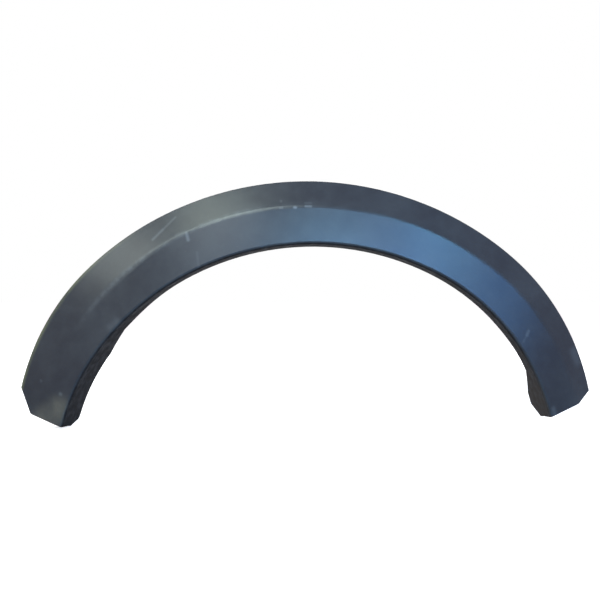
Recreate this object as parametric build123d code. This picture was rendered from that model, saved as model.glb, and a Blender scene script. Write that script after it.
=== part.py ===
from build123d import *
import math
import os

# Wheel arch trim molding, one moulded shell. Millimetres.
# +X runs along the car, +Y into the body side, +Z up, and the wheel opening faces down.
# The origin is midway between the two crown clip seats. Angles are measured from straight up,
# in degrees, about the fan centre: the point below the crown where all section planes meet.
# They are positive to the right.

# Opening line: the front edge of the inner flange, a crown arc running into two shoulder arcs
OPENING_RISE = 368.5  # apex above the fan centre
OPENING_SHIFT = 9.0  # apex to the right of the fan centre
OPENING_CROWN_RADIUS = 380.5
OPENING_LEFT_RADIUS = 306.5
OPENING_RIGHT_RADIUS = 312.5
OPENING_LEFT_TURN = 50.0  # crown arc left of the apex
OPENING_RIGHT_TURN = 27.0  # crown arc right of the apex

# Outer edge line: the same kind of curve, set out from the opening line
BAND_WIDTH = 91.0  # edge apex above the opening apex
EDGE_SHIFT = 0.0  # edge apex to the right of the fan centre
EDGE_CROWN_EXTRA = 79.0  # radius beyond that of the opening's arc
EDGE_LEFT_EXTRA = 37.5
EDGE_RIGHT_EXTRA = 30.5
EDGE_LEFT_TURN = 42.5
EDGE_RIGHT_TURN = 38.5

# Ends of the arch, each a radial cut with its outer corner cut off
LEFT_END = 72.1
RIGHT_END = 69.9
LEFT_CUT_ON_END = 24.0
LEFT_CUT_ON_EDGE = 29.5
RIGHT_CUT_ON_END = 22.5
RIGHT_CUT_ON_EDGE = 10.0
CORNER_ROUND = 3.5
END_ROUND = 1.6  # front edges of the end faces

# Section, with depths measured out from the body side
BODY_SIDE_RADIUS = 3200.0  # plan curve of the body side that the molding lies on
EDGE_DEPTH = 5.0
NOSE_DEPTH = 34.0
EDGE_ROUND = 2.0
NOSE_ROUND = 3.8
WALL = 2.8
END_WALL = 2.4

# Crease that splits the face into an upper and a lower band, and fades towards both ends
CREASE_SHARE = 0.586  # of the face's width, from the opening line
CREASE_SHARE_LEFT = 0.48
CREASE_SHARE_RIGHT = 0.635
CREASE_LIFT = 7.3  # above the straight line from nose to edge
CREASE_LIFT_LEFT = 1.2
CREASE_LIFT_RIGHT = 3.5
CREASE_SOFTNESS = 2.5  # length of each band that the rounding takes up
CREASE_SOFTNESS_LEFT = 10.0
CREASE_SOFTNESS_RIGHT = 4.0
CREASE_FADE_START = 22.0
CREASE_FADE_LEFT = 36.0  # angle that the change takes on the left
CREASE_FADE_RIGHT = 47.0

# Inner flange, with a deeper tab at each end that tucks behind the wheel arch lip
FLANGE_DRAFT = 3.0
FLANGE_DRAFT_END = 9.5
DRAFT_FADE_LEFT_START = 30.0
DRAFT_FADE_LEFT = 18.0  # angle that the change takes on the left
DRAFT_FADE_RIGHT_START = 54.0
DRAFT_FADE_RIGHT = 14.0
TAB_REACH = 24.0  # past the body side
TAB_ROOT = 6.0  # overlap with the flange
TAB_RELIEF = 0.3  # how much thinner than the flange on each face
TAB_ROUND = 6.0
LEFT_TAB_LENGTH = 162.0
LEFT_TAB_RAMP = 42.0
LEFT_TAB_STEP = 2.0
LEFT_TAB_SLANT = 10.0  # how far the deep corner stops short of the end
RIGHT_TAB_LENGTH = 67.5
RIGHT_TAB_RAMP = 32.0
RIGHT_TAB_STEP = 3.0
RIGHT_TAB_SLANT = 18.0

# Clip towers on the hidden side, in three level pairs
CROWN_CLIP_X = 60.0
CROWN_CLIP_RISE = 41.5  # crown clip seats above the opening apex
END_CLIP_SETBACK = 11.0  # degrees short of the nearer end
SEAT_RECESS = 1.5  # clip seats below the body side
CLIP_HOLE_RADIUS = 4.0
TOWER_LENGTH = 26.0
TOWER_WIDTH = 22.0
TOWER_WALL = 2.0
SEAT_PLATE = 2.5

# Cross ribs on the hidden side
RIB_PITCH = 9.0
RIB_THICKNESS = 1.5
RIB_RECESS = 9.0
RIB_GAP = 1.5  # clear of a tower

STATION_PITCH = 6.0  # angle between lofted sections, at most
OVERRUN = 3.0  # lofts run past the ends by this angle before the ends are cut
BEYOND = 80.0  # cutting tools run past what they cut

FAN_CENTRE_Z = -(OPENING_RISE + CROWN_CLIP_RISE)


class ArchLine:
    """A curve of one crown arc and two shoulder arcs, tangent where they meet."""

    def __init__(self, apex, crown_radius, left_radius, right_radius, left_turn, right_turn):
        self.crown = Vector(apex[0], apex[1] - crown_radius)
        self.crown_radius = crown_radius
        self.left_radius = left_radius
        self.right_radius = right_radius
        self.left_turn = left_turn
        self.right_turn = right_turn
        self.left = self.crown + direction(-left_turn) * (crown_radius - left_radius)
        self.right = self.crown + direction(right_turn) * (crown_radius - right_radius)

    def radius_at(self, angle):
        """Distance from the fan centre to the curve at an angle."""
        radius = distance_to_circle(angle, self.crown, self.crown_radius)
        from_crown = direction(angle) * radius - self.crown
        turn = math.degrees(math.atan2(from_crown.X, from_crown.Y))
        if turn > self.right_turn:
            return distance_to_circle(angle, self.right, self.right_radius)
        if turn < -self.left_turn:
            return distance_to_circle(angle, self.left, self.left_radius)
        return radius


def direction(angle):
    """Unit vector (x, z) at an angle from straight up."""
    return Vector(math.sin(math.radians(angle)), math.cos(math.radians(angle)))


def distance_to_circle(angle, centre, radius):
    along = direction(angle).dot(centre)
    return along + math.sqrt(radius**2 - centre.dot(centre) + along**2)


OPENING = ArchLine(
    (OPENING_SHIFT, OPENING_RISE),
    OPENING_CROWN_RADIUS,
    OPENING_LEFT_RADIUS,
    OPENING_RIGHT_RADIUS,
    OPENING_LEFT_TURN,
    OPENING_RIGHT_TURN,
)
EDGE = ArchLine(
    (EDGE_SHIFT, OPENING_RISE + BAND_WIDTH),
    OPENING_CROWN_RADIUS + EDGE_CROWN_EXTRA,
    OPENING_LEFT_RADIUS + EDGE_LEFT_EXTRA,
    OPENING_RIGHT_RADIUS + EDGE_RIGHT_EXTRA,
    EDGE_LEFT_TURN,
    EDGE_RIGHT_TURN,
)


def fade(angle, start, length):
    """0 up to the start angle, then a smooth rise to 1 over the length."""
    share = min(max((abs(angle) - start) / length, 0), 1)
    return share * share * (3 - 2 * share)


def along_crease(left, middle, right, angle):
    """A size of the crease that has its own value at each end, at one angle."""
    if angle < 0:
        return middle + (left - middle) * fade(angle, CREASE_FADE_START, CREASE_FADE_LEFT)
    return middle + (right - middle) * fade(angle, CREASE_FADE_START, CREASE_FADE_RIGHT)


def flange_slope(angle):
    """Sideways run of the inner flange for each unit of depth."""
    if angle < 0:
        share = fade(angle, DRAFT_FADE_LEFT_START, DRAFT_FADE_LEFT)
    else:
        share = fade(angle, DRAFT_FADE_RIGHT_START, DRAFT_FADE_RIGHT)
    return math.tan(math.radians(FLANGE_DRAFT + (FLANGE_DRAFT_END - FLANGE_DRAFT) * share))


def seat_y(x):
    """Y of a clip seat: the seats follow the plan curve of the body side."""
    return (x**2 - CROWN_CLIP_X**2) / (2 * BODY_SIDE_RADIUS)


def body_side(x):
    return seat_y(x) + SEAT_RECESS


def section_plane(angle):
    """Radial plane at an angle: local x is the distance from the fan centre, local y is Y."""
    out = direction(angle)
    return Plane((0, 0, FAN_CENTRE_Z), x_dir=(out.X, 0, out.Y), z_dir=(-out.Y, 0, out.X))


def at_depth(angle, radius, depth):
    """Section point (radius, y) at a depth out from the body side."""
    return Vector(radius, body_side(radius * direction(angle).X) - depth)


def flange_point(angle, depth, into_wall=0.0):
    """Section point in the inner flange, or in line with it past the body side."""
    nose = OPENING.radius_at(angle)
    slope = flange_slope(angle)
    sideways = (depth - NOSE_DEPTH) * slope + into_wall * math.hypot(1, slope)
    return at_depth(angle, nose, depth) + Vector(sideways, 0)


def corners(angle):
    """Section corners: edge foot, edge, crease, nose and flange foot."""
    edge = EDGE.radius_at(angle)
    nose = OPENING.radius_at(angle)
    share = along_crease(CREASE_SHARE_LEFT, CREASE_SHARE, CREASE_SHARE_RIGHT, angle)
    lift = along_crease(CREASE_LIFT_LEFT, CREASE_LIFT, CREASE_LIFT_RIGHT, angle)
    crease_depth = NOSE_DEPTH + (EDGE_DEPTH - NOSE_DEPTH) * share + lift
    return [
        at_depth(angle, edge, 0),
        at_depth(angle, edge, EDGE_DEPTH),
        at_depth(angle, nose + (edge - nose) * share, crease_depth),
        flange_point(angle, NOSE_DEPTH),
        flange_point(angle, 0),
    ]


def moved_in(points, distance):
    """The open outline with every side moved in by a distance."""
    sides = []
    for start, end in zip(points, points[1:]):
        along = (end - start).normalized()
        inward = Vector(along.Y, -along.X) * distance
        sides.append((start + inward, along))
    moved = [sides[0][0]]
    for (start, along), (other, other_along) in zip(sides, sides[1:]):
        reach = (other - start).cross(other_along).Z / along.cross(other_along).Z
        moved.append(start + along * reach)
    moved.append(points[-1] + sides[-1][0] - points[-2])
    return moved


def to_y(point, neighbour, y):
    """The point slid along the line to its neighbour until it has this y."""
    return neighbour + (point - neighbour) * ((y - neighbour.Y) / (point.Y - neighbour.Y))


def section(angle, inset=0.0, past_body=0.0):
    """Filled section inside the outer skin, closed at the body side or past it."""
    skin = corners(angle)
    foot, edge, crease, nose, flange = moved_in(skin, inset)
    foot = to_y(foot, edge, skin[0].Y + past_body)
    flange = to_y(flange, nose, skin[-1].Y + past_body)
    softness = along_crease(CREASE_SOFTNESS_LEFT, CREASE_SOFTNESS, CREASE_SOFTNESS_RIGHT, angle)
    bend = (crease - edge).get_angle(nose - crease)
    crease_round = softness / math.tan(math.radians(bend / 2))
    rounds = [max(skin_round - inset, 0) for skin_round in (EDGE_ROUND, crease_round, NOSE_ROUND)]
    outline = FilletPolyline(foot, edge, crease, nose, flange, radius=rounds)
    return section_plane(angle) * make_face([outline, Line(flange, foot)])


def stations(start, end):
    count = math.ceil((end - start) / STATION_PITCH)
    return [start + (end - start) * index / count for index in range(count + 1)]


def arch_loft(inset=0.0, past_body=0.0):
    """The section carried round the whole arch and a little past both ends."""
    angles = stations(-LEFT_END - OVERRUN, RIGHT_END + OVERRUN)
    return loft([section(angle, inset, past_body) for angle in angles])


def in_front(point):
    """Front view point (x, z) from one measured about the fan centre."""
    return point.X, point.Y + FAN_CENTRE_Z


def before_end(end, distance, line):
    """Angle at a distance along a line of the arch, back from one end."""
    return end - math.copysign(math.degrees(distance / line.radius_at(end)), end)


def end_outline(end, cut_on_end, cut_on_edge):
    """Front view points of one end: its outer corner, and a point far out on the corner cut."""
    edge_angle = before_end(end, cut_on_edge, EDGE)
    end_corner = direction(end) * (EDGE.radius_at(end) - cut_on_end)
    edge_corner = direction(edge_angle) * EDGE.radius_at(edge_angle)
    outside = edge_corner + (edge_corner - end_corner).normalized() * BEYOND
    return end_corner, outside


def front_view(inset=0.0):
    """Prism that trims the arch to its two ends."""
    left_corner, left_outside = end_outline(-LEFT_END, LEFT_CUT_ON_END, LEFT_CUT_ON_EDGE)
    right_corner, right_outside = end_outline(RIGHT_END, RIGHT_CUT_ON_END, RIGHT_CUT_ON_EDGE)
    top = EDGE.crown.Y + EDGE.crown_radius + BEYOND
    points = [
        Vector(0, 0),
        left_corner,
        left_outside,
        Vector(left_outside.X, top),
        Vector(right_outside.X, top),
        right_outside,
        right_corner,
    ]
    rounds = [0, CORNER_ROUND, 0, 0, 0, 0, CORNER_ROUND]
    outline = FilletPolyline(*[in_front(point) for point in points], radius=rounds, close=True)
    face = make_face(outline)
    if inset:
        face = offset(face, amount=-inset, kind=Kind.INTERSECTION)
    return extrude(Plane.XZ * face, BEYOND * 2, both=True)


def filled_form():
    """The outer form, solid, with the front edges of both end faces rounded over."""
    form = arch_loft() & front_view()
    end_faces = form.faces().filter_by(GeomType.BSPLINE, reverse=True)
    front_edges = []
    for edge in end_faces.edges():
        middle = edge @ 0.5
        on_body_side = middle.Y > body_side(middle.X) - EDGE_DEPTH / 2
        runs_back = abs((edge % 0.5).Y) > math.cos(math.radians(2 * FLANGE_DRAFT_END))
        if not on_body_side and not runs_back:
            front_edges.append(edge)
    return fillet(front_edges, END_ROUND)


def hollow():
    """The open space behind the face, with a wall left at both ends."""
    return arch_loft(WALL, BEYOND) & front_view(END_WALL)


def tab_section(angle):
    near = TAB_RELIEF
    far = WALL - TAB_RELIEF
    deep = -TAB_REACH - TAB_ROOT
    points = [
        flange_point(angle, TAB_ROOT, near),
        flange_point(angle, TAB_ROOT, far),
        flange_point(angle, deep, far),
        flange_point(angle, deep, near),
    ]
    return section_plane(angle) * make_face(Polyline(*points, close=True))


def tab(end, length, ramp, step, slant):
    """Deep part of the flange next to one end. It starts with a step and a ramp, and ends slanted."""

    def side_view(distance, depth):
        """Side view point (y, z) of the flange, at a distance back from the end."""
        angle = before_end(end, distance, OPENING)
        point = flange_point(angle, depth)
        return point.Y, FAN_CENTRE_Z + point.X * direction(angle).Y

    start = before_end(end, length, OPENING)
    past_end = end + math.copysign(OVERRUN, end)
    strip = loft([tab_section(angle) for angle in stations(*sorted((start, past_end)))])
    top = side_view(length, -step)
    bottom = side_view(0, 0)
    outline = FilletPolyline(
        (top[0] - BEYOND, top[1]),
        top,
        side_view(length - ramp, -TAB_REACH),
        side_view(slant, -TAB_REACH),
        bottom,
        (top[0] - BEYOND, bottom[1] - BEYOND),
        radius=[0, 0, TAB_ROUND, TAB_ROUND, 0, 0],
        close=True,
    )
    side_prism = extrude(Plane.YZ * make_face(outline), EDGE.crown_radius, both=True)
    return strip & side_prism & front_view()


def clip_pairs():
    """X, Z and angle of the right-hand clip of each pair."""
    crown = math.degrees(math.atan2(CROWN_CLIP_X, -FAN_CENTRE_Z))
    last = min(LEFT_END, RIGHT_END) - END_CLIP_SETBACK
    pairs = [(CROWN_CLIP_X, 0.0, crown)]
    for angle in ((crown + last) / 2, last):
        radii = [line.radius_at(side) for line in (OPENING, EDGE) for side in (-angle, angle)]
        x, z = in_front(direction(angle) * (sum(radii) / len(radii)))
        pairs.append((x, z, angle))
    return pairs


def tower(x, z, angle):
    """Box that carries a clip seat, open on the side away from the crown. It runs into the face."""
    from_seat = (Align.CENTER, Align.MAX, Align.CENTER)
    block = Box(TOWER_LENGTH, BEYOND, TOWER_WIDTH, align=from_seat)
    room = Box(TOWER_LENGTH, BEYOND, TOWER_WIDTH - 2 * TOWER_WALL, align=from_seat)
    block -= Pos(math.copysign(TOWER_WALL, x), -SEAT_PLATE, 0) * room
    block -= Rot(90, 0, 0) * Cylinder(CLIP_HOLE_RADIUS, BEYOND)
    return Location((x, seat_y(x), z), (0, angle, 0)) * block


def rib(angle):
    """Plate across the hollow, with its back edge short of the body side. It runs into the face."""
    high = at_depth(angle, EDGE.radius_at(angle), RIB_RECESS)
    low = flange_point(angle, RIB_RECESS)
    forward = Vector(0, -BEYOND)
    face = make_face(Polyline(low, high, high + forward, low + forward, close=True))
    return extrude(section_plane(angle) * face, RIB_THICKNESS / 2, both=True)


def supports():
    """Clip towers, and ribs in even steps along the arch where no tower is in the way."""
    pairs = clip_pairs()
    made = [tower(side * x, z, side * angle) for x, z, angle in pairs for side in (-1, 1)]
    half_space = TOWER_LENGTH / 2 + RIB_GAP + RIB_THICKNESS / 2
    keep_clear = math.degrees(half_space / -FAN_CENTRE_Z)
    for step in range(1, math.ceil((LEFT_END + RIGHT_END) / RIB_PITCH)):
        angle = step * RIB_PITCH - LEFT_END
        if all(abs(abs(angle) - clip_angle) > keep_clear for _, _, clip_angle in pairs):
            made.append(rib(angle))
    return made


def wheel_arch_molding():
    """The form with its back hollowed out around the supports, and a tab at each end."""
    shell = filled_form() - (hollow() - supports())
    left_tab = tab(-LEFT_END, LEFT_TAB_LENGTH, LEFT_TAB_RAMP, LEFT_TAB_STEP, LEFT_TAB_SLANT)
    right_tab = tab(RIGHT_END, RIGHT_TAB_LENGTH, RIGHT_TAB_RAMP, RIGHT_TAB_STEP, RIGHT_TAB_SLANT)
    return shell + [left_tab, right_tab]


os.makedirs("parts", exist_ok=True)
export_step(wheel_arch_molding(), "parts/wheel_arch_molding.step")
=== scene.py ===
import math

import bpy
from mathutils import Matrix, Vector


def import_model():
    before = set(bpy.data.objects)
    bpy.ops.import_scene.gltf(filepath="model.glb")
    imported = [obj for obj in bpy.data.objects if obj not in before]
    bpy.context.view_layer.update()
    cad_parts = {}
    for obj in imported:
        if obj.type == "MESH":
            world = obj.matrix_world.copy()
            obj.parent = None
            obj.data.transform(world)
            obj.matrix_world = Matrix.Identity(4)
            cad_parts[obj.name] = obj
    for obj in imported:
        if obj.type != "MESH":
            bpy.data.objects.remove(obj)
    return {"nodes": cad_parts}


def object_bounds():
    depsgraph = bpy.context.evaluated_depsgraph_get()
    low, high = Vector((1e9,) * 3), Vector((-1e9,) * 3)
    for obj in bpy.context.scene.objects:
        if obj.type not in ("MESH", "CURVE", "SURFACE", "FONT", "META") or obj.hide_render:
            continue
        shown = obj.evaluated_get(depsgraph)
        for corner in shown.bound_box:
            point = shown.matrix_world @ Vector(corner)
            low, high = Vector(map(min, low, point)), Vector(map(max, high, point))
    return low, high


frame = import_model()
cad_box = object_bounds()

# Metres, in the frame of the part: +X along the car, +Y into the body side, +Z up.
# Front view points are (x, z). The fan centre is the point that the arch curves about.

CAMERA_PLACE = (-0.0093, -1.270, -0.119)
CAMERA_SENSOR = 36.0
CAMERA_LENS = 53.66

WHITE = (1, 1, 1, 1)

FAN_CENTRE = (0.0, -0.410)
CREASE_POINTS = ((-0.3527, -0.2064), (-0.1777, -0.0289), (0.0368, 0.0105))
EDGE_POINTS = ((-0.4095, -0.2340), (-0.3420, -0.1050), (-0.2525, -0.0265))

# Colours of the plastic, of what lies on it, and of the painted shade and highlights
CHARCOAL = (0.020, 0.021, 0.024, 1)
FADED = (0.046, 0.047, 0.047, 1)
# Near-black of grime and painted shade on the flange
GRIME_AND_SHADE = (0.011, 0.009, 0.009, 1)
MUD = (0.040, 0.032, 0.027, 1)
DUST = (0.24, 0.20, 0.13, 1)
# Olive of the painted highlight along the left outer edge
OLIVE_HIGHLIGHT = (0.17, 0.16, 0.075, 1)
SCUFF_AND_HIGHLIGHT = (0.42, 0.42, 0.40, 1)

# Where a surface starts to count as face or flange, and where it does in full. For the face it is how far
# the surface turns to the viewer, and for the flange how far it turns away from the fan centre.
FACE_TURN = (0.15, 0.55)
FLANGE_TURN = (-0.12, -0.70)

# Fading, dust, the painted edge highlight, the worn crease with its painted highlight, and grime with
# painted shade: how wide, how strong, and where round the arch each starts or ends.
# Levels are the noise values where a pattern starts and is full, and its strengths there if not 0 and 1.
CLOUD_SIZE = 0.075
CLOUD_LEVELS = (0.32, 0.72)
CLOUD_FADING = 0.45
BLOTCH_SIZE = 0.017
BLOTCH_LEVELS = (0.30, 0.75)
BLOTCH_FADING = 0.20
SPECK_SIZE = 0.0024
SPECK_LEVELS = (0.60, 0.74)
SPECK_DUST = 0.03
PATCH_SIZE = 0.022
PATCH_LEVELS = (0.30, 0.65, 0.55, 1.0)
PATCH_DUST = 0.34
# Painted highlight along the left outer edge: width, patches, levels, strength and start round the arch
RIM_WIDTH = 0.0065
RIM_PATCHES = 0.030
RIM_LEVELS = (0.30, 0.65, 0.35, 1.0)
RIM_HIGHLIGHT = 0.62
RIM_STARTS = (math.radians(-30), math.radians(-40))
# Worn crease with a painted highlight: width, patches, levels, strength, start and end round the arch
CREST_WIDTH = 0.0065
CREST_PATCHES = 0.010
CREST_LEVELS = (0.35, 0.70, 0.25, 1.0)
CREST_WEAR_AND_HIGHLIGHT = 0.09
CREST_STARTS = (math.radians(-58), math.radians(-38))
CREST_ENDS = (math.radians(-14), math.radians(2))
GRIME_AND_SHADE_PATCH_SIZE = 0.012
GRIME_AND_SHADE_PATCH_LEVELS = (0.25, 0.65, 0.55, 1.0)
MUD_STARTS = (math.radians(50), math.radians(66))

# Shine of the clean plastic, and what wear and dirt add to it or take from it
ROUGHNESS = 0.275
BLOTCH_ROUGHNESS = 0.02
WEAR_ROUGHNESS = 0.30
GRIME_ROUGHNESS = 0.35
DUST_ROUGHNESS = 0.10
SPECULAR = 0.5
GRIME_DULLING = 0.25

# Moulded grain and the faint waviness under it
PEBBLE_SIZE = 0.0011
PEBBLE_SHARE = 0.6
PIT_SIZE = 0.0005
PIT_SHARE = 0.4
GRAIN_STRENGTH = 0.12
GRAIN_HEIGHT = 0.00010
GRAIN_OFF_FACE = 0.25
WAVE_SIZE = 0.060
WAVE_STRENGTH = 0.20
WAVE_HEIGHT = 0.0010

# Scratches and scuffs on the face, and a painted reflection and a painted highlight on the right end: from,
# to, width and strength
MARKS = (
    ((-0.2171, -0.0338), (-0.2028, -0.0194), 0.0034, 0.11),
    ((-0.2028, -0.0194), (-0.1857, -0.0018), 0.0028, 0.08),
    ((-0.1685, -0.0248), (-0.1655, -0.0350), 0.0042, 0.17),
    ((-0.1830, -0.0290), (-0.1674, -0.0231), 0.0045, 0.08),
    ((-0.0170, 0.0101), (-0.0155, 0.0101), 0.0036, 0.26),
    ((-0.0016, 0.0116), (0.0060, 0.0116), 0.0028, 0.18),
    ((-0.0370, 0.0093), (-0.0340, 0.0095), 0.0028, 0.12),
    ((-0.1528, -0.0529), (-0.1499, -0.0725), 0.0034, 0.04),
    ((0.3124, -0.1626), (0.3094, -0.1689), 0.0038, 0.09),
    ((0.3094, -0.1689), (0.3036, -0.1782), 0.0030, 0.04),
    ((-0.3795, -0.2340), (-0.3790, -0.2345), 0.0036, 0.06),
    ((-0.3475, -0.2513), (-0.3465, -0.2520), 0.0042, 0.09),
    ((-0.2750, -0.1568), (-0.2657, -0.1497), 0.0100, 0.05),
    ((-0.0360, 0.0195), (-0.0357, 0.0192), 0.0030, 0.08),
    ((-0.0020, 0.0165), (0.0060, 0.0165), 0.0028, 0.05),
    # Painted reflection: a light patch on the outer edge of the right end
    ((0.3840, -0.1930), (0.3890, -0.2080), 0.0110, 0.06),
    # Painted highlight: a light spot on the bottom corner of the right end
    ((0.3475, -0.2720), (0.3495, -0.2800), 0.0060, 0.07),
)
RAGGED_SCALE = 900.0
RAGGED_SHIFT = 0.0016
NOISE_MIDDLE = (0.5, 0.5, 0.5)

# Dusty patch at the foot of the left end: from, to and width
DUST_PATCH = ((-0.3720, -0.2900), (-0.3500, -0.2740), 0.030)

# Softboxes: name, azimuth right of the viewer, elevation, size and radiance
SQUARE = (0.6, 0.6)
WIDE = (2.0, 1.2)
LAMPS = (
    ("window_front", 6, 15, SQUARE, (7.5, 16.4, 26.0)),
    ("window_near", 20, 15, SQUARE, (1.9, 4.2, 10.4)),
    ("window_middle", 34, 15, SQUARE, (0.9, 2.0, 4.0)),
    ("window_top", 34, 30, SQUARE, (2.0, 6.5, 11.6)),
    ("window_far", 48, 15, SQUARE, (0.1, 1.2, 3.6)),
    ("lamp_front", -8, 15, SQUARE, (0.1, 0.9, 2.1)),
    ("lamp_near", -22, 30, SQUARE, (4.3, 4.9, 5.1)),
    ("lamp_top_near", -22, 46, SQUARE, (6.9, 8.4, 7.9)),
    ("lamp_top_far", -38, 46, SQUARE, (6.4, 7.4, 6.3)),
    ("lamp_far", -55, 30, SQUARE, (5.2, 5.8, 5.3)),
    ("lamp_back", 180, 40, WIDE, (8.0, 8.0, 8.0)),
)
LAMP_DISTANCE = 2.2
AMBIENT = (0.48, 0.42, 0.47, 1)
BACKDROP_TURN = (0.0, 0.3)  # how far a reflection goes back where the white starts and is full

FLOOR_HALF = 60.0
FLOOR_DROP = 0.0005  # below the part
FLOOR_GLOW = 0.76
FLOOR_GREY = (0.25, 0.25, 0.25, 1)  # for the light it throws back at the part
FLOOR_PALE = (0.60, 0.60, 0.60, 1)  # for the camera


class Nodes:
    """Short names for making and joining the nodes of one tree."""

    def __init__(self, tree):
        self.tree = tree
        tree.nodes.clear()

    def add(self, kind, inputs=(), **settings):
        node = self.tree.nodes.new("ShaderNode" + kind)
        for name, value in settings.items():
            setattr(node, name, value)
        for socket, value in dict(inputs).items():
            self.feed(node.inputs[socket], value)
        return node

    def feed(self, socket, value):
        if isinstance(value, bpy.types.NodeSocket):
            self.tree.links.new(value, socket)
        else:
            socket.default_value = value

    def math(self, operation, first, second=0.0, clamp=False):
        inputs = {0: first, 1: second}
        return self.add("Math", inputs, operation=operation, use_clamp=clamp).outputs[0]

    def product(self, *values):
        result = values[0]
        for value in values[1:]:
            result = self.math("MULTIPLY", result, value)
        return result

    def vector(self, operation, first, second=(0, 0, 0), output="Vector"):
        return self.add("VectorMath", {0: first, 1: second}, operation=operation).outputs[output]

    def ramp(self, value, low, high, start=0.0, end=1.0):
        """Smooth change from start to end while the value goes from low to high."""
        inputs = {"Value": value, "From Min": low, "From Max": high, "To Min": start, "To Max": end}
        return self.add("MapRange", inputs, interpolation_type="SMOOTHSTEP").outputs[0]

    def blend(self, share, first, second):
        """Mix of two colours. The numbers are the colour sockets of the Mix node."""
        node = self.add("Mix", data_type="RGBA")
        self.feed(node.inputs["Factor"], share)
        self.feed(node.inputs[6], first)
        self.feed(node.inputs[7], second)
        return node.outputs[2]

    def noise(self, place, size, detail=3.0, roughness=0.55):
        inputs = {"Vector": place, "Scale": 1 / size, "Detail": detail, "Roughness": roughness}
        return self.add("TexNoise", inputs).outputs["Fac"]


def circle_through(first, second, third):
    """Centre and radius of the circle through three front view points."""
    (ax, az), (bx, bz), (cx, cz) = first, second, third
    double_area = 2 * (ax * (bz - cz) + bx * (cz - az) + cx * (az - bz))
    squares = [x * x + z * z for x, z in (first, second, third)]
    x = (squares[0] * (bz - cz) + squares[1] * (cz - az) + squares[2] * (az - bz)) / double_area
    z = (squares[0] * (cx - bx) + squares[1] * (ax - cx) + squares[2] * (bx - ax)) / double_area
    return (x, z), math.hypot(ax - x, az - z)


def stroke_group():
    """Node group: how near a point is to a straight stroke on the face, 1 on it and 0 past its width."""
    tree = bpy.data.node_groups.new("stroke", "ShaderNodeTree")
    for name, kind in (("Place", "Vector"), ("From", "Vector"), ("To", "Vector"), ("Width", "Float")):
        tree.interface.new_socket(name, in_out="INPUT", socket_type="NodeSocket" + kind)
    tree.interface.new_socket("Mask", in_out="OUTPUT", socket_type="NodeSocketFloat")
    nodes = Nodes(tree)
    given = tree.nodes.new("NodeGroupInput").outputs
    result = tree.nodes.new("NodeGroupOutput")
    along = nodes.vector("SUBTRACT", given["To"], given["From"])
    offset = nodes.vector("SUBTRACT", given["Place"], given["From"])
    done = nodes.vector("DOT_PRODUCT", offset, along, output="Value")
    whole = nodes.vector("DOT_PRODUCT", along, along, output="Value")
    share = nodes.math("DIVIDE", done, whole, clamp=True)
    nearest = nodes.add("VectorMath", {0: along}, operation="SCALE")
    nodes.feed(nearest.inputs["Scale"], share)
    distance = nodes.vector("DISTANCE", offset, nearest.outputs[0], output="Value")
    mask = nodes.ramp(nodes.math("DIVIDE", distance, given["Width"]), 0.0, 1.0, 1.0, 0.0)
    tree.links.new(mask, result.inputs["Mask"])
    return tree


def stroke_mask(nodes, stroke, flat_place, start, end, width):
    """1 on the straight stroke between two front view points and 0 past its width."""
    mark = nodes.add("Group", node_tree=stroke)
    nodes.feed(mark.inputs["Place"], flat_place)
    nodes.feed(mark.inputs["From"], (start[0], 0, start[1]))
    nodes.feed(mark.inputs["To"], (end[0], 0, end[1]))
    nodes.feed(mark.inputs["Width"], width)
    return mark.outputs["Mask"]


def ring(nodes, x, z, centre, radius, width):
    """1 on a circle of the front view and 0 past the width on either side of it."""
    across = nodes.math("SUBTRACT", x, centre[0])
    up = nodes.math("SUBTRACT", z, centre[1])
    squares = nodes.math("ADD", nodes.product(across, across), nodes.product(up, up))
    off = nodes.math("ABSOLUTE", nodes.math("SUBTRACT", nodes.math("SQRT", squares), radius))
    return nodes.ramp(off, 0.0, width, 1.0, 0.0)


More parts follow.
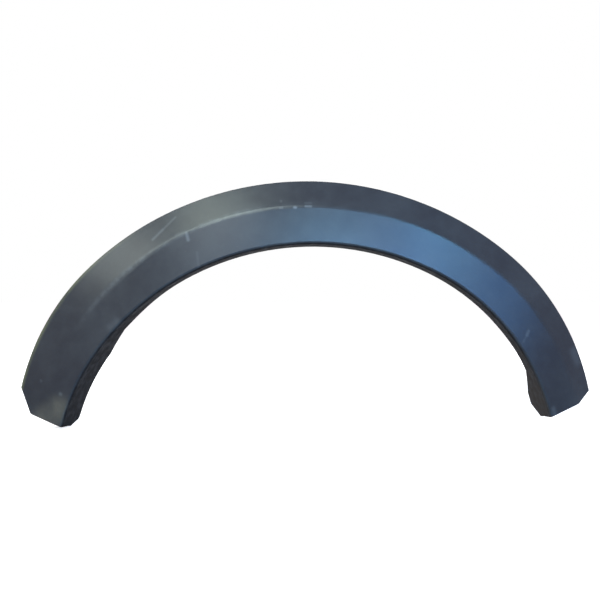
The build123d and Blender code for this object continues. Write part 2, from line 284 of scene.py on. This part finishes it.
def grained_plastic():
    """Dark moulded plastic with a fine grain: faded and scuffed on the face, with painted highlights on the
    crease and edges, grimy and darkened by painted shade on the flange.
    """
    material = bpy.data.materials.new("grained_plastic")
    material.use_nodes = True
    nodes = Nodes(material.node_tree)
    coordinates = nodes.add("TexCoord").outputs
    place = coordinates["Object"]
    position = nodes.add("SeparateXYZ", {0: place}).outputs
    x, z = position[0], position[2]
    facing = nodes.add("SeparateXYZ", {0: coordinates["Normal"]}).outputs
    face = nodes.ramp(nodes.math("MULTIPLY", facing[1], -1.0), *FACE_TURN)

    # Angle round the arch from straight up, and how far a surface turns away from the fan centre
    across = nodes.math("SUBTRACT", x, FAN_CENTRE[0])
    up = nodes.math("SUBTRACT", z, FAN_CENTRE[1])
    angle = nodes.math("ARCTAN2", across, up)
    outward = nodes.add("CombineXYZ", {"X": across, "Z": up}).outputs[0]
    outward = nodes.vector("NORMALIZE", outward)
    turned_out = nodes.vector("DOT_PRODUCT", outward, coordinates["Normal"], output="Value")
    flange = nodes.ramp(turned_out, *FLANGE_TURN)

    # Fading in clouds and blotches
    clouds = nodes.ramp(nodes.noise(place, CLOUD_SIZE, detail=4.0), *CLOUD_LEVELS)
    blotches = nodes.ramp(nodes.noise(place, BLOTCH_SIZE), *BLOTCH_LEVELS)
    fading = nodes.math("ADD", nodes.product(clouds, CLOUD_FADING), nodes.product(blotches, BLOTCH_FADING))
    fading = nodes.product(fading, face)
    colour = nodes.blend(fading, CHARCOAL, FADED)

    # Front view place for strokes, shaken a little so that their edges are ragged
    ragged = nodes.add("TexNoise", {"Vector": place, "Scale": RAGGED_SCALE, "Detail": 2.0})
    ragged = nodes.vector("SUBTRACT", ragged.outputs["Color"], NOISE_MIDDLE)
    shaken = nodes.add("VectorMath", {0: ragged, "Scale": RAGGED_SHIFT}, operation="SCALE").outputs[0]
    flat_place = nodes.vector("MULTIPLY", nodes.vector("ADD", place, shaken), (1, 0, 1))
    stroke = stroke_group()

    # Dust: fine specks all over the face, and a patch low on the left end
    specks = nodes.ramp(nodes.noise(place, SPECK_SIZE, detail=2.0), *SPECK_LEVELS)
    patch = nodes.product(
        stroke_mask(nodes, stroke, flat_place, *DUST_PATCH),
        nodes.ramp(nodes.noise(place, PATCH_SIZE, detail=4.0), *PATCH_LEVELS),
    )
    film = nodes.math("ADD", nodes.product(specks, SPECK_DUST), nodes.product(patch, PATCH_DUST), clamp=True)
    colour = nodes.blend(nodes.product(film, face), colour, DUST)

    # Painted olive highlight along the outer edge on the left
    centre, radius = circle_through(*EDGE_POINTS)
    rim_highlight = nodes.product(
        ring(nodes, x, z, centre, radius, RIM_WIDTH),
        nodes.ramp(angle, *RIM_STARTS),
        nodes.ramp(nodes.noise(place, RIM_PATCHES), *RIM_LEVELS),
    )
    colour = nodes.blend(nodes.product(rim_highlight, RIM_HIGHLIGHT), colour, OLIVE_HIGHLIGHT)

    # Worn crease with a painted highlight along it, on the left half up to the crown
    centre, radius = circle_through(*CREASE_POINTS)
    crest = ring(nodes, x, z, centre, radius, CREST_WIDTH)
    worn_and_lit_length = nodes.product(
        nodes.ramp(angle, *CREST_STARTS),
        nodes.ramp(angle, *CREST_ENDS, 1.0, 0.0),
    )
    patchy = nodes.ramp(nodes.noise(place, CREST_PATCHES, detail=4.0), *CREST_LEVELS)
    wear_and_highlight = nodes.product(crest, worn_and_lit_length, patchy, CREST_WEAR_AND_HIGHLIGHT)

    # Scratches and scuffs, with the painted reflection and highlight on the right end among them
    for start, end, width, strength in MARKS:
        mark = stroke_mask(nodes, stroke, flat_place, start, end, width)
        wear_and_highlight = nodes.math("MAXIMUM", wear_and_highlight, nodes.product(mark, strength))
    wear_and_highlight = nodes.product(wear_and_highlight, face)
    # The painted highlights on the crease and the right end go on with the scuffs
    colour = nodes.blend(wear_and_highlight, colour, SCUFF_AND_HIGHLIGHT)

    # Grime and painted shade that darken the flange, browner with mud on the right tab
    grime_and_shade_patches = nodes.ramp(nodes.noise(place, GRIME_AND_SHADE_PATCH_SIZE, detail=4.0), *GRIME_AND_SHADE_PATCH_LEVELS)
    grime_and_shade = nodes.product(flange, grime_and_shade_patches)
    muddy = nodes.ramp(angle, *MUD_STARTS)
    colour = nodes.blend(grime_and_shade, colour, nodes.blend(muddy, GRIME_AND_SHADE, MUD))

    roughness = nodes.math("ADD", nodes.product(blotches, BLOTCH_ROUGHNESS), ROUGHNESS)
    roughness = nodes.math("ADD", roughness, nodes.product(wear_and_highlight, WEAR_ROUGHNESS))
    roughness = nodes.math("ADD", roughness, nodes.product(grime_and_shade, GRIME_ROUGHNESS))
    roughness = nodes.math("ADD", roughness, nodes.product(patch, DUST_ROUGHNESS), clamp=True)
    specular = nodes.math("SUBTRACT", SPECULAR, nodes.product(grime_and_shade, GRIME_DULLING))

    # Moulded grain, strong on the face and weak elsewhere, and a faint waviness
    pebbles = nodes.add("TexVoronoi", {"Vector": place, "Scale": 1 / PEBBLE_SIZE}, feature="SMOOTH_F1")
    pebbles = nodes.product(pebbles.outputs["Distance"], PEBBLE_SHARE)
    pits = nodes.product(nodes.noise(place, PIT_SIZE, detail=2.0), PIT_SHARE)
    grain = nodes.math("ADD", pebbles, pits)
    on_face = nodes.math("ADD", nodes.product(face, 1 - GRAIN_OFF_FACE), GRAIN_OFF_FACE)
    grain = nodes.product(grain, on_face)
    fine = nodes.add("Bump", {"Strength": GRAIN_STRENGTH, "Distance": GRAIN_HEIGHT, "Height": grain})
    waves = nodes.noise(place, WAVE_SIZE, detail=1.0)
    wavy = nodes.add("Bump", {"Strength": WAVE_STRENGTH, "Distance": WAVE_HEIGHT, "Height": waves})
    nodes.feed(wavy.inputs["Normal"], fine.outputs[0])

    shader = nodes.add("BsdfPrincipled", {"Base Color": colour, "Roughness": roughness})
    nodes.feed(shader.inputs["Normal"], wavy.outputs[0])
    nodes.feed(shader.inputs["Specular IOR Level"], specular)
    nodes.add("OutputMaterial", {"Surface": shader.outputs[0]})
    return material


def softbox(name, azimuth, elevation, size, radiance):
    """Area lamp that faces the part, from an azimuth right of the viewer and an elevation."""
    strength = max(radiance)
    lamp = bpy.data.lights.new(name, "AREA")
    lamp.shape = "RECTANGLE"
    lamp.size, lamp.size_y = size
    lamp.color = [channel / strength for channel in radiance]
    lamp.energy = strength * size[0] * size[1] * math.pi
    thing = bpy.data.objects.new(name, lamp)
    bpy.context.scene.collection.objects.link(thing)
    turn, rise = math.radians(azimuth), math.radians(elevation)
    level = math.cos(rise)
    away = Vector((math.sin(turn) * level, -math.cos(turn) * level, math.sin(rise)))
    target = (cad_box[0] + cad_box[1]) / 2
    thing.location = target + away * LAMP_DISTANCE
    thing.rotation_euler = (-away).to_track_quat("-Z", "Y").to_euler()
    thing.visible_camera = False


def camera():
    lens = bpy.data.cameras.new("camera")
    lens.sensor_width = CAMERA_SENSOR
    lens.lens = CAMERA_LENS
    thing = bpy.data.objects.new("camera", lens)
    bpy.context.scene.collection.objects.link(thing)
    thing.location = CAMERA_PLACE
    thing.rotation_euler = (math.radians(90), 0, 0)
    bpy.context.scene.camera = thing


def floor():
    """Pale floor that the two ends stand on. It looks white, and keeps the shadow."""
    material = bpy.data.materials.new("floor")
    material.use_nodes = True
    nodes = Nodes(material.node_tree)
    path = nodes.add("LightPath").outputs
    seen = nodes.math("MAXIMUM", path["Is Camera Ray"], path["Is Transmission Ray"])
    glow = nodes.add("Emission", {"Strength": nodes.product(seen, FLOOR_GLOW)})
    matte = nodes.add("BsdfDiffuse", {"Color": nodes.blend(seen, FLOOR_GREY, FLOOR_PALE)})
    both = nodes.add("AddShader", {0: glow.outputs[0], 1: matte.outputs[0]})
    nodes.add("OutputMaterial", {"Surface": both.outputs[0]})
    height = cad_box[0].z - FLOOR_DROP
    signs = ((-1, -1), (1, -1), (1, 1), (-1, 1))
    corners = [(x * FLOOR_HALF, y * FLOOR_HALF, height) for x, y in signs]
    mesh = bpy.data.meshes.new("floor")
    mesh.from_pydata(corners, [], [(0, 1, 2, 3)])
    mesh.materials.append(material)
    thing = bpy.data.objects.new("floor", mesh)
    bpy.context.scene.collection.objects.link(thing)


def world():
    """White behind the part, also in its reflections, and a grey studio for the light that falls on it."""
    studio = bpy.data.worlds.new("studio")
    bpy.context.scene.world = studio
    studio.use_nodes = True
    nodes = Nodes(studio.node_tree)
    path = nodes.add("LightPath").outputs
    seen = nodes.math("MAXIMUM", path["Is Camera Ray"], path["Is Transmission Ray"])
    direction = nodes.add("SeparateXYZ", {0: nodes.add("TexCoord").outputs["Generated"]}).outputs
    behind = nodes.ramp(direction[1], *BACKDROP_TURN)
    seen = nodes.math("MAXIMUM", seen, nodes.product(path["Is Glossy Ray"], behind))
    colour = nodes.blend(seen, AMBIENT, WHITE)
    back = nodes.add("Background", {"Color": colour})
    nodes.add("OutputWorld", {"Surface": back.outputs[0]})


camera()
world()
floor()
for lamp in LAMPS:
    softbox(*lamp)

plastic = grained_plastic()
molding = frame["nodes"]["wheel_arch_molding"]
for slot in molding.material_slots:
    slot.material = plastic

bpy.context.scene.view_settings.view_transform = "Standard"
